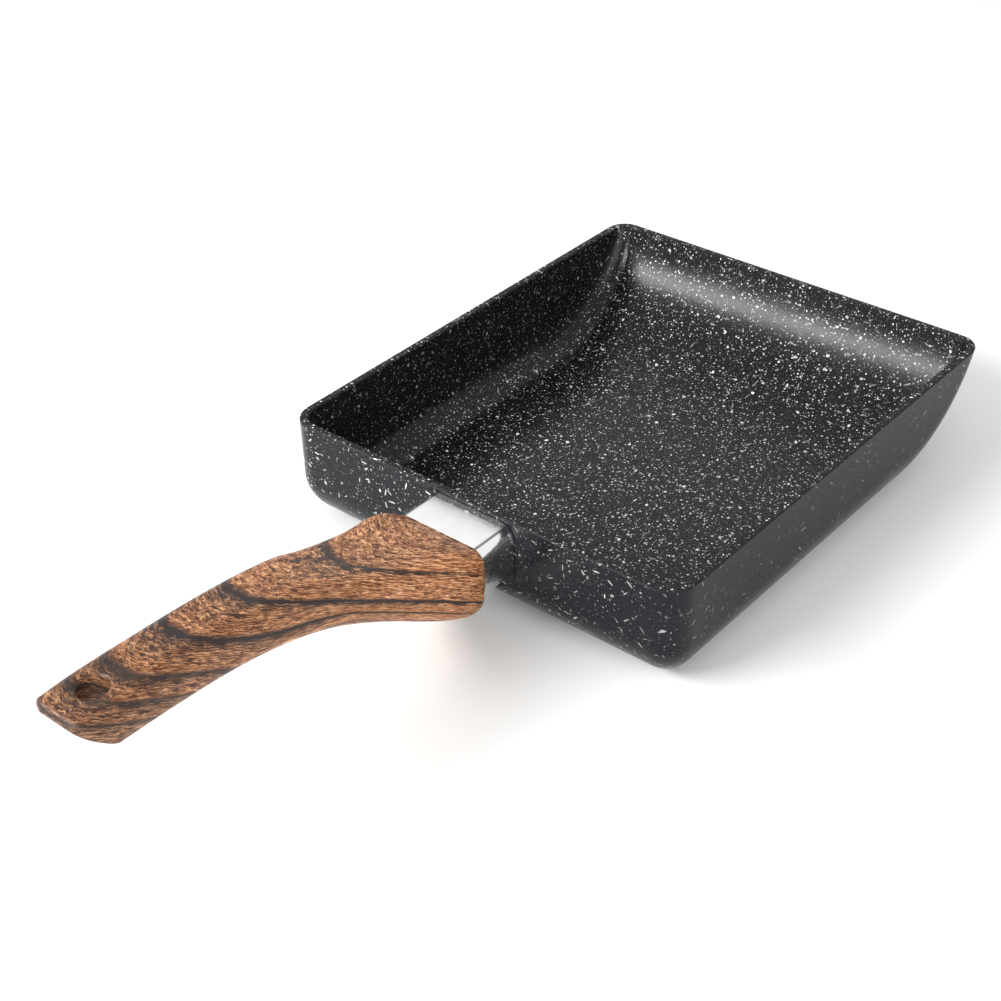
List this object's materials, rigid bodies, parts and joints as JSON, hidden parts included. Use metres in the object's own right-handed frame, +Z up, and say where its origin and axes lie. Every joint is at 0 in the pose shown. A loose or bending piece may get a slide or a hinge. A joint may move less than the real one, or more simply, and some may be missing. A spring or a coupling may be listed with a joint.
{
  "type": "tamagoyaki pan",
  "caption": "Rectangular coated aluminium rolled-omelette pan with a curved far wall, a steel ferrule and a raised wood-look moulded handle with a hang hole.",
  "frame": {"origin": "middle of the flat underside, under the middle of the rim", "axes": "+Z up, +Y from the handle to the curved far wall, +X to the right"},
  "size_m": [0.15, 0.3231, 0.0586],
  "materials": {
    "pan_coating": "satin speckled non-stick coating",
    "bare_aluminium": "as extruded",
    "ferrule_steel": "bright drawn, polished",
    "handle_film": "satin printed wood film",
    "plated_steel": "zinc plated"
  },
  "bodies": {
    "root": {"pan_body": "pan_coating", "handle_boss": "bare_aluminium", "ferrule": "ferrule_steel", "handle": "handle_film", "handle_screw": "plated_steel", "flat_washer": "plated_steel", "spring_washer": "plated_steel"}
  },
  "joints": []
}
